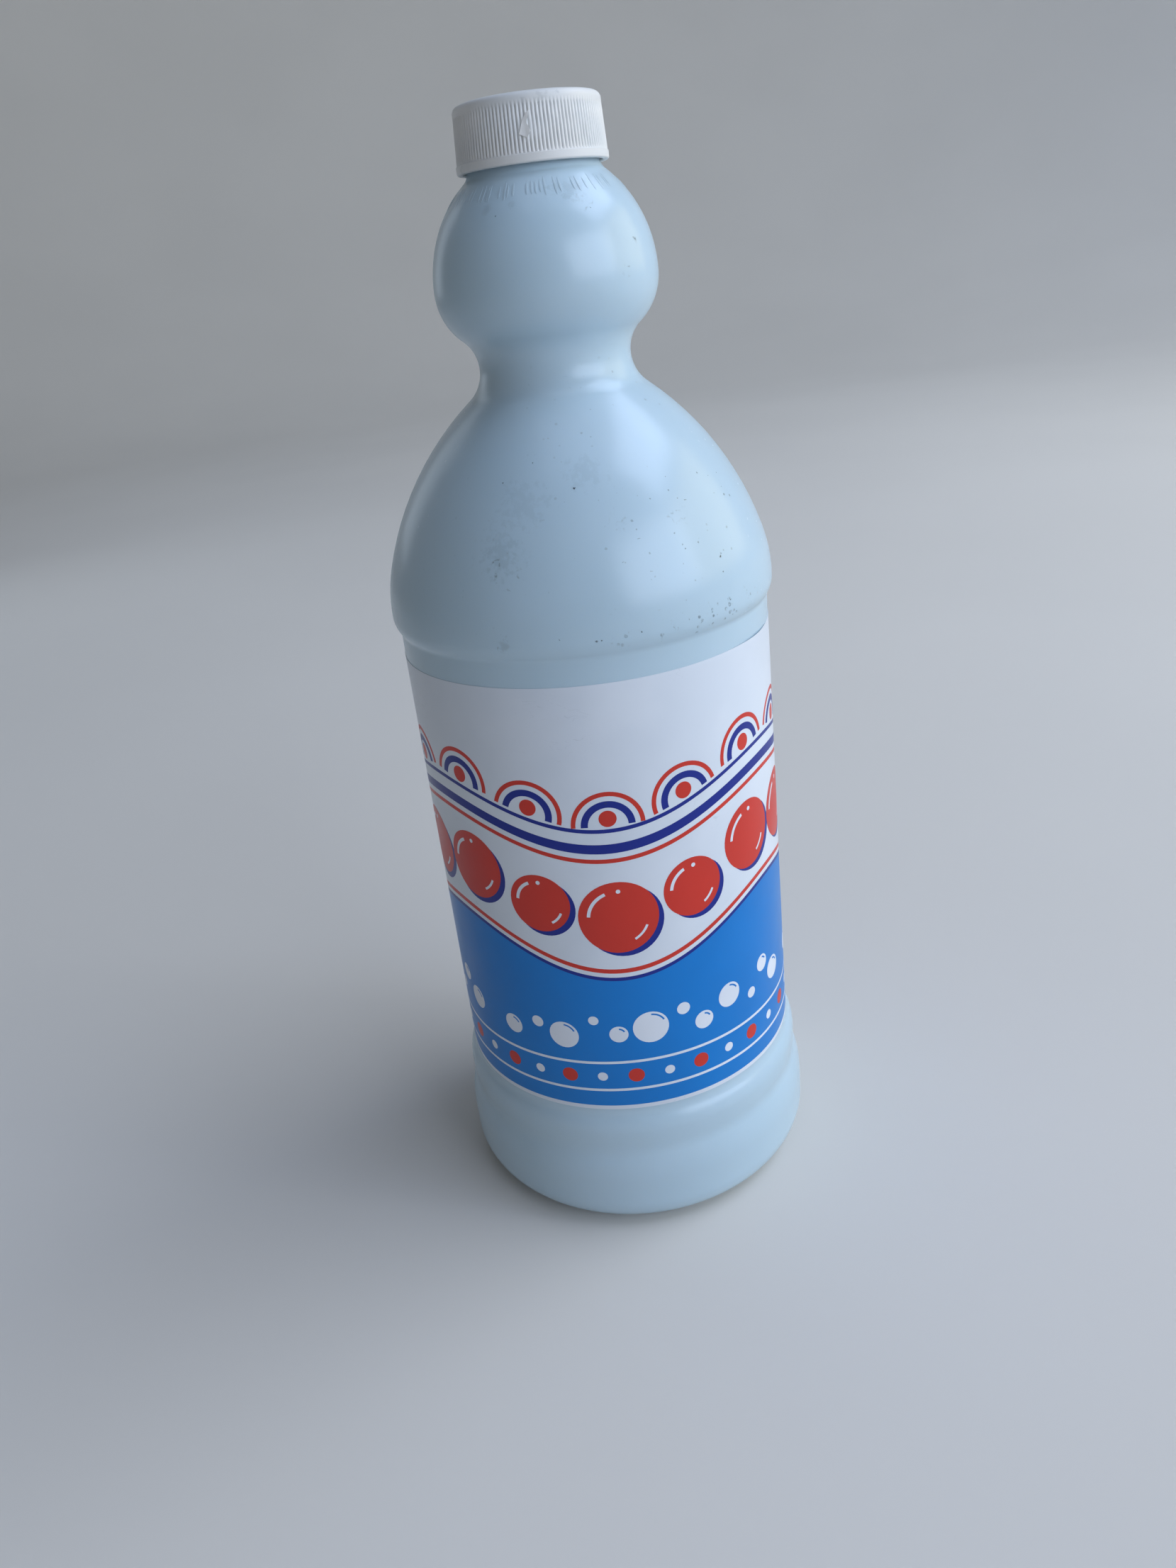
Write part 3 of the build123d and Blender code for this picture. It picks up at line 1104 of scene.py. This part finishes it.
def blown_plastic():
    """Satin pale blue polyethylene, with its marks, specks and scuffs where the photo has them."""
    finishes = bpy.context.scene.finishes
    material, nodes, shader, place = new_material("blown_plastic")
    link = nodes.tree.links.new
    grime_and_gap_shade = finishes.grime_and_gap_shade
    drift = nodes.noise(place, 22, 2)
    base = tuple(finishes.bottle)
    greyer = tuple(c * s for c, s in zip(base, (0.9, 0.93, 0.93, 1)))
    colour = nodes.mix(nodes.ramp(drift, 0.1, 0.9), base, greyer)

    # Rows of spots: angle from the front, height, the wall's radius, size, strength
    stains = (
        (-22.5, 167.5, 38.4, 5.0, 0.10),
        (-16.0, 176.0, 33.8, 5.0, 0.07),
        (6.0, 180.0, 31.1, 4.0, 0.07),
        (-22.0, 150.2, 42.8, 1.2, 0.22),
        (22.0, 229.0, 17.6, 2.6, 0.14),
        (12.0, 229.5, 17.2, 1.6, 0.10),
        (-29.6, 227.1, 18.9, 1.2, 0.16),
        (-14.5, 227.4, 18.7, 0.8, 0.14),
    )
    scuffs = (
        (10.0, 149.6, 42.8, 2.2, 0.5),
        (22.0, 149.5, 42.8, 2.6, 0.7),
        (30.0, 149.7, 42.8, 2.8, 0.9),
        (37.0, 149.8, 42.8, 2.8, 1),
        (44.0, 150.0, 42.8, 2.8, 0.9),
        (52.0, 150.4, 42.8, 2.8, 0.8),
        (60.0, 150.8, 42.8, 2.6, 0.7),
    )
    scrapes = (
        (-23.2, 169.0, 37.7, 3.2, 0.7),
        (-21.6, 166.3, 38.9, 3.0, 0.9),
        (-20.0, 163.0, 40.1, 2.8, 0.6),
        (-24.6, 171.5, 36.4, 2.4, 0.5),
        (50.4, 219.9, 22.1, 1.7, 0.9),
        (41.5, 214.2, 22.9, 1.5, 0.8),
        (27.0, 226.5, 19.3, 2.0, 0.5),
        (33.0, 170.5, 36.9, 2.8, 0.5),
        (12.0, 171.5, 36.4, 2.2, 0.45),
        (-23.0, 150.6, 42.8, 1.8, 0.6),
    )
    dots = (
        (1.4, 177.7, 32.7, 0.34, 1),
        (43.9, 161.1, 41.0, 0.34, 1),
        (43.4, 160.6, 41.1, 0.28, 1),
        (-13.0, 182.5, 29.1, 0.2, 0.8),
        (42.8, 157.7, 41.9, 0.2, 0.8),
        (43.9, 151.9, 42.7, 0.2, 0.8),
        (-23.9, 179.5, 31.4, 0.18, 0.7),
        (31.8, 164.0, 39.9, 0.2, 0.7),
        (-7.1, 151.1, 42.8, 0.24, 0.8),
        (2.4, 150.1, 42.8, 0.24, 0.8),
        (3.8, 150.2, 42.8, 0.28, 0.9),
        (14.5, 150.6, 42.8, 0.2, 0.8),
        (12.3, 164.0, 39.9, 0.16, 0.7),
        (-23.8, 225.8, 19.7, 0.18, 0.7),
        (29.3, 225.4, 19.9, 0.2, 0.8),
    )
    dirt = all_spots(nodes, place, ragged_noise(nodes, place, 700), stains)
    fine = ragged_noise(nodes, place, 1000)
    flecks = nodes.group(specks(), vector=place, scale=1000, size=0.55, amount=0.9)
    flecks = nodes.maths("MULTIPLY", flecks, all_spots(nodes, place, fine, scuffs))
    dirt = nodes.maths("MAXIMUM", dirt, nodes.maths("MULTIPLY", flecks, 0.6))
    lines = nodes.group(crooked_lines(), vector=place, width=0.035, gap_scale=450)
    lines = nodes.maths("MULTIPLY", lines, all_spots(nodes, place, fine, scrapes))
    lines = nodes.maths("MULTIPLY", lines, 0.7)
    dirt = nodes.maths("MAXIMUM", dirt, lines)
    marks = all_spots(nodes, place, ragged_noise(nodes, place, 2500), dots)

    # Specks and scuffs lie on the dome, thicker on the right
    parts = nodes.add("ShaderNodeSeparateXYZ", {0: place}).outputs
    peppered = nodes.ramp(parts[2], 147 * MM, 156 * MM)
    for share in (
        nodes.ramp(parts[2], 205 * MM, 188 * MM),
        nodes.ramp(parts[2], 156 * MM, 178 * MM, 0.45, 1),
        nodes.ramp(parts[0], -12 * MM, 26 * MM, 0.22, 1),
        nodes.ramp(nodes.noise(place, 70, 1), 0.35, 0.6, 0.25, 1),
    ):
        peppered = nodes.maths("MULTIPLY", peppered, share)
    small = nodes.group(specks(), vector=place, scale=600, size=0.2, amount=0.7)
    slanted = nodes.stretch(place, (1, 1, 2.6), rotation=(0.5, 0.4, 0.9))
    nicks = nodes.group(specks(), vector=slanted, scale=240, size=0.13, amount=0.5)
    small = nodes.maths("MULTIPLY", nodes.maths("MAXIMUM", small, nicks), peppered)
    soil = nodes.maths("MAXIMUM", dirt, nodes.maths("MULTIPLY", small, 0.75))
    colour = nodes.mix(soil, colour, tuple(grime_and_gap_shade))
    colour = nodes.mix(nodes.maths("MULTIPLY", marks, 0.92), colour, (0.01, 0.012, 0.014, 1))
    link(colour, shader.inputs["Base Color"])

    rough = nodes.ramp(nodes.noise(place, 60, 1), 0, 1, 0.22, 0.268)
    rough = nodes.maths("ADD", rough, nodes.maths("MULTIPLY", soil, 0.3), clamp=True)
    link(rough, shader.inputs["Roughness"])
    height = nodes.group(grain(), vector=place, fine_scale=1500, ripple_scale=260, fine_share=0.1)
    bump = nodes.add("ShaderNodeBump", {"Height": height, "Strength": 0.4, "Distance": 0.00006})
    link(bump.outputs[0], shader.inputs["Normal"])
    shader.inputs["IOR"].default_value = 1.5
    shader.inputs["Subsurface Weight"].default_value = 0.12
    shader.inputs["Subsurface Radius"].default_value = (0.6, 0.8, 1.0)
    shader.inputs["Subsurface Scale"].default_value = 0.0015
    return material


def cap_plastic():
    """Satin white polypropylene, with dust and painted shade between the ribs, the torn flake
    painted paler as a painted highlight, and a few smudges on the band.
    """
    finishes = bpy.context.scene.finishes
    sizes = bpy.context.scene.cap_sizes
    material, nodes, shader, place = new_material("cap_plastic")
    link = nodes.tree.links.new
    base = tuple(finishes.cap)
    cooler = tuple(c * s for c, s in zip(base, (0.94, 0.96, 0.98, 1)))
    colour = nodes.mix(nodes.ramp(nodes.noise(place, 90, 3), 0.35, 0.65), base, cooler)

    # Dust and painted shade lie in the gaps, so the colour darkens the deeper it lies below the
    # crest of the ribs
    parts = nodes.add("ShaderNodeSeparateXYZ", {0: place}).outputs
    flat = nodes.stretch(place, (1, 1, 0))
    radius = nodes.add("ShaderNodeVectorMath", {0: flat}, operation="LENGTH").outputs["Value"]
    band_z = sizes.top_z - sizes.band_height
    collar_z = sizes.rim_z + sizes.collar_height
    crest = nodes.ramp(parts[2], collar_z, band_z, sizes.radius, sizes.band_radius)
    depth = nodes.maths("SUBTRACT", crest, radius)
    dust_and_gap_shade = nodes.ramp(depth, 0.1 * MM, 0.27 * MM, 0, 0.34)
    on_skirt = nodes.maths(
        "MULTIPLY",
        nodes.ramp(parts[2], collar_z, collar_z + 0.4 * MM),
        nodes.ramp(parts[2], band_z, band_z - 0.4 * MM),
    )
    outside = nodes.ramp(radius, sizes.bore + 0.25 * MM, sizes.bore + 0.5 * MM)
    dust_and_gap_shade = nodes.maths("MULTIPLY", dust_and_gap_shade, nodes.maths("MULTIPLY", on_skirt, outside))
    # Painted highlight: the torn flake, standing proud of the ribs, is painted paler, as if it
    # caught the light.
    torn = nodes.maths("MULTIPLY", nodes.ramp(depth, -0.02 * MM, -0.05 * MM), on_skirt)
    paler = tuple(min(c * 1.22, 0.92) for c in base)
    colour = nodes.mix(torn, colour, paler)
    smudges = (
        (-2.1, 244.1, 14.4, 0.8, 0.1),
        (10.7, 244.5, 14.4, 1.0, 0.12),
        (15.0, 244.5, 14.4, 0.8, 0.1),
        (24.7, 244.9, 14.2, 0.5, 0.14),
        (-66.0, 234.6, 15.0, 1.2, 0.12),
        (140.0, 244.4, 14.4, 1.2, 0.1),
        (215.0, 245.3, 14.0, 1.6, 0.1),
    )
    marks = all_spots(nodes, place, ragged_noise(nodes, place, 1400), smudges)
    dust_and_gap_shade = nodes.maths("MAXIMUM", dust_and_gap_shade, marks)
    # Dust, painted shade in the rib gaps and smudges darken the colour
    colour = nodes.mix(dust_and_gap_shade, colour, tuple(finishes.grime_and_gap_shade))
    link(colour, shader.inputs["Base Color"])
    rough = nodes.ramp(nodes.noise(place, 240, 3), 0.3, 0.7, 0.42, 0.54)
    link(rough, shader.inputs["Roughness"])
    height = nodes.group(grain(), vector=place, fine_scale=1800, ripple_scale=500, fine_share=0.2)
    bump = nodes.add("ShaderNodeBump", {"Height": height, "Strength": 0.4, "Distance": 0.00005})
    link(bump.outputs[0], shader.inputs["Normal"])
    shader.inputs["Subsurface Weight"].default_value = 0.1
    shader.inputs["Subsurface Radius"].default_value = (1.0, 1.0, 1.0)
    shader.inputs["Subsurface Scale"].default_value = 0.0008
    return material


def foamed_plastic():
    """The liner's foam, with its fine cells."""
    material, nodes, shader, place = new_material("foamed_plastic")
    link = nodes.tree.links.new
    base = tuple(bpy.context.scene.finishes.liner)
    darker = tuple(c * s for c, s in zip(base, (0.8, 0.8, 0.78, 1)))
    cells = nodes.add("ShaderNodeTexVoronoi", {"Vector": place, "Scale": 4000})
    link(
        nodes.mix(nodes.ramp(cells.outputs["Distance"], 0.2, 0.7), darker, base),
        shader.inputs["Base Color"],
    )
    bump = nodes.add(
        "ShaderNodeBump",
        {"Height": cells.outputs["Distance"], "Strength": 0.6, "Distance": 0.00004},
    )
    link(bump.outputs[0], shader.inputs["Normal"])
    shader.inputs["Roughness"].default_value = 0.7
    return material


def film(name, base):
    """Smooth printed film in one ink or its own white, with faint scuffs and a soft ripple."""
    grime_and_gap_shade = bpy.context.scene.finishes.grime_and_gap_shade
    material, nodes, shader, place = new_material(name)
    link = nodes.tree.links.new
    base = tuple(base)
    darker = tuple(c * s for c, s in zip(base, (0.93, 0.94, 0.95, 1)))
    colour = nodes.mix(nodes.ramp(nodes.noise(place, 40, 3), 0.35, 0.65), base, darker)
    slanted = nodes.stretch(place, (1, 1, 3.0), rotation=(0.2, 0.3, 0.5))
    rubs = nodes.group(crooked_lines(), vector=slanted, scale=90, width=0.008)
    patches = nodes.ramp(nodes.noise(place, 45, 1), 0.55, 0.7)
    rubs = nodes.maths("MULTIPLY", nodes.maths("MULTIPLY", rubs, patches), 0.12)
    dots = nodes.group(specks(), vector=place, scale=170, size=0.07, amount=0.04)
    soil = nodes.maths("MAXIMUM", rubs, nodes.maths("MULTIPLY", dots, 0.35))
    colour = nodes.mix(soil, colour, tuple(grime_and_gap_shade))
    link(colour, shader.inputs["Base Color"])
    rough = nodes.ramp(nodes.noise(place, 70, 1), 0.3, 0.7, 0.29, 0.36)
    rough = nodes.maths("ADD", rough, nodes.maths("MULTIPLY", soil, 0.8), clamp=True)
    link(rough, shader.inputs["Roughness"])
    height = nodes.group(grain(), vector=place, fine_scale=1500, ripple_scale=120, fine_share=0.05)
    bump = nodes.add("ShaderNodeBump", {"Height": height, "Strength": 0.3, "Distance": 0.00006})
    link(bump.outputs[0], shader.inputs["Normal"])
    shader.inputs["Specular IOR Level"].default_value = 0.35
    return material


def studio_paper():
    """The pale floor's paper."""
    material, nodes, shader, place = new_material("studio_paper")
    base = tuple(bpy.context.scene.finishes.floor)
    paler = tuple(min(c * 1.03, 1) for c in base)
    colour = nodes.mix(nodes.ramp(nodes.noise(place, 3, 2), 0.3, 0.7), base, paler)
    nodes.tree.links.new(colour, shader.inputs["Base Color"])
    shader.inputs["Roughness"].default_value = 0.9
    return material


# Studio


def aim(place, target):
    """A matrix that stands at a place and looks at a target."""
    back = (Vector(place) - Vector(target)).normalized()
    turned = back.to_track_quat("Z", "Y").to_matrix().to_4x4()
    return Matrix.Translation(place) @ turned


def add_light(name, place, target, size, power, colour):
    data = bpy.data.lights.new(name, "AREA")
    data.shape = "RECTANGLE"
    data.size, data.size_y = size
    data.energy = power
    data.color = colour
    light = bpy.data.objects.new(name, data)
    light.matrix_world = aim(place, target)
    bpy.context.scene.collection.objects.link(light)


class BLEACH_OT_studio(bpy.types.Operator):
    """The camera at the photograph's angle, a pale floor, a soft window light and a rim light"""

    bl_idname = "bleach_bottle.studio"
    bl_label = "Studio"

    def execute(self, context):
        settings = context.scene.studio
        pitch, yaw, roll = settings.pitch, settings.yaw, settings.roll
        forward = Vector((sin(yaw) * cos(pitch), cos(yaw) * cos(pitch), -sin(pitch)))
        level = Vector((cos(yaw), -sin(yaw), 0))
        upright = level.cross(forward)
        right = cos(roll) * level + sin(roll) * upright
        upward = cos(roll) * upright - sin(roll) * level
        data = bpy.data.cameras.new("camera")
        data.lens = settings.lens
        data.sensor_width = 36
        data.clip_start, data.clip_end = 0.01, 20
        camera = bpy.data.objects.new("camera", data)
        turned = Matrix((right, upward, -forward)).transposed().to_4x4()
        place = Vector((0, -settings.back, settings.height))
        camera.matrix_world = Matrix.Translation(place) @ turned
        context.scene.collection.objects.link(camera)
        context.scene.camera = camera

        bm = bmesh.new()
        pen = Pen(bm, 0, 0, radians(6))
        pen.line(1.8, 0, 4)
        pen.arc((1.8, 1.2), pi / 2)
        pen.line(3.0, 3.0, 2)
        bmesh.ops.spin(
            bm,
            geom=bm.verts[:] + bm.edges[:],
            cent=(0, 0, 0),
            axis=(0, 0, 1),
            angle=tau,
            steps=96,
            use_merge=True,
        )
        bmesh.ops.remove_doubles(bm, verts=bm.verts, dist=0.0001)
        bmesh.ops.recalc_face_normals(bm, faces=bm.faces)
        bmesh.ops.reverse_faces(bm, faces=bm.faces)
        for face in bm.faces:
            face.smooth = True
        mesh = bpy.data.meshes.new("studio_floor")
        bm.to_mesh(mesh)
        bm.free()
        mesh.materials.append(studio_paper())
        floor = bpy.data.objects.new("studio_floor", mesh)
        context.scene.collection.objects.link(floor)

        blue, warm, cool = (0.62, 0.75, 1), (1, 0.89, 0.5), (0.75, 0.87, 1)
        middle = (0, 0, 0.13)
        lights = (
            ("window", (1.32, -1.11, 0.74), middle, (1.6, 1.05), settings.window, (0.7, 0.81, 1)),
            ("side_window", (1.71, 0.15, 0.74), middle, (1.6, 1.05), settings.side, warm),
            ("ceiling", (1.36, 0.16, 1.76), (1.36, 0.16, 0), (1.1, 1.6), settings.ceiling, blue),
            ("overhead", (0.16, 0.16, 1.76), (0.16, 0.16, 0), (1.12, 1.92), settings.overhead, blue),
            ("rim", (-0.64, 0.69, 0.47), middle, (0.3, 0.6), settings.rim, cool),
            ("backdrop", (0, 1.3, 1.7), (0, 3, 0.5), (2.4, 0.5), settings.backdrop, cool),
        )
        for name, place, target, size, power, colour in lights:
            add_light(name, place, target, size, power, colour)
        world = bpy.data.worlds.new("studio_sky")
        world.use_nodes = True
        sky = world.node_tree.nodes["Background"]
        sky.inputs["Color"].default_value = (1, 0.93, 0.63, 1)
        sky.inputs["Strength"].default_value = settings.sky
        context.scene.world = world
        context.scene.view_settings.view_transform = "Standard"
        return {"FINISHED"}


class BLEACH_PT_panel(bpy.types.Panel):
    """Lists the pieces"""

    bl_idname = "BLEACH_PT_panel"
    bl_label = "Bleach Bottle"
    bl_space_type = "VIEW_3D"
    bl_region_type = "UI"
    bl_category = "Bottle"

    def draw(self, context):
        for operator in OPERATORS:
            self.layout.operator(operator.bl_idname)


OPERATORS = (
    BLEACH_OT_studio,
    BLEACH_OT_bottle,
    BLEACH_OT_cap,
    BLEACH_OT_liner,
    BLEACH_OT_label,
    BLEACH_OT_print,
)
SETTINGS = {
    "bottle_sizes": BottleSizes,
    "thread_sizes": ThreadSizes,
    "cap_sizes": CapSizes,
    "label_sizes": LabelSizes,
    "finishes": Finishes,
    "studio": StudioSettings,
}


def register():
    for kind in (*SETTINGS.values(), *OPERATORS, BLEACH_PT_panel):
        bpy.utils.register_class(kind)
    for name, kind in SETTINGS.items():
        setattr(bpy.types.Scene, name, PointerProperty(type=kind))


def unregister():
    for name in SETTINGS:
        delattr(bpy.types.Scene, name)
    for kind in (BLEACH_PT_panel, *OPERATORS, *SETTINGS.values()):
        bpy.utils.unregister_class(kind)


def main():
    register()
    for step in ("studio", "bottle", "cap", "liner", "label", "print"):
        getattr(bpy.ops.bleach_bottle, step)()


if __name__ == "__main__":
    main()
